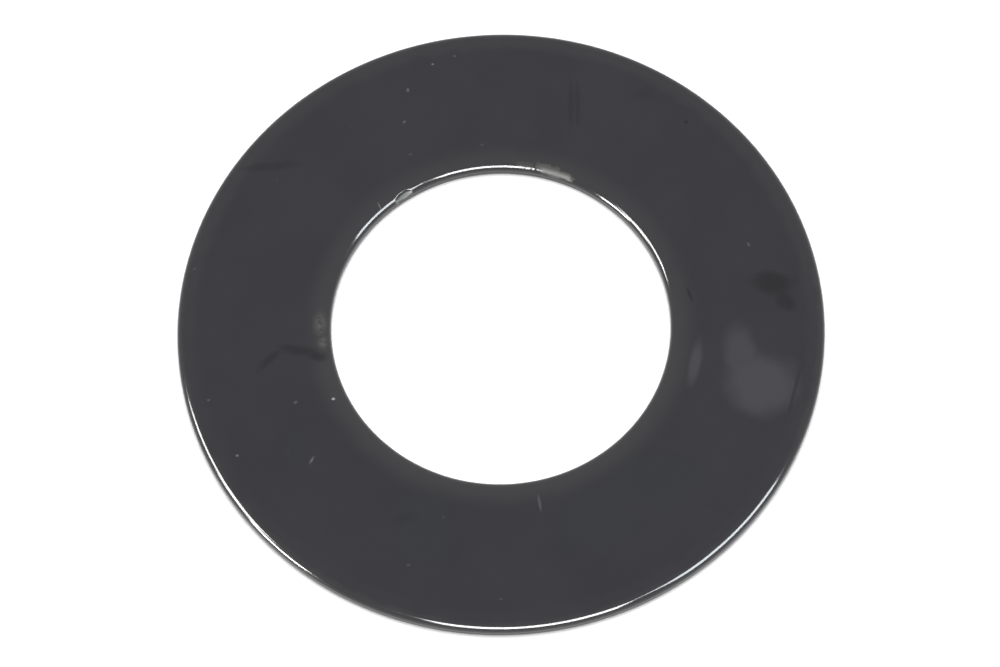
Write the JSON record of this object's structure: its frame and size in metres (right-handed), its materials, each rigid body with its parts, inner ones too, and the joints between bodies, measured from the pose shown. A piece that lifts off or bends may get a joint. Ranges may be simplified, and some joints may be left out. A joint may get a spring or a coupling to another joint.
{
  "type": "offset shim",
  "caption": "Flat round spacing shim with a plain central bore and rolled upper corners, coated glossy black.",
  "frame": {"origin": "on the bore's axis, in the plane of the lower face", "axes": "+Z along the bore's axis, up out of the rolled face; X and Y lie in the lower face"},
  "size_m": [0.05, 0.05, 0.0011],
  "materials": {
    "black_coating": "gloss"
  },
  "bodies": {
    "root": {"offset_shim": "black_coating"}
  },
  "joints": []
}
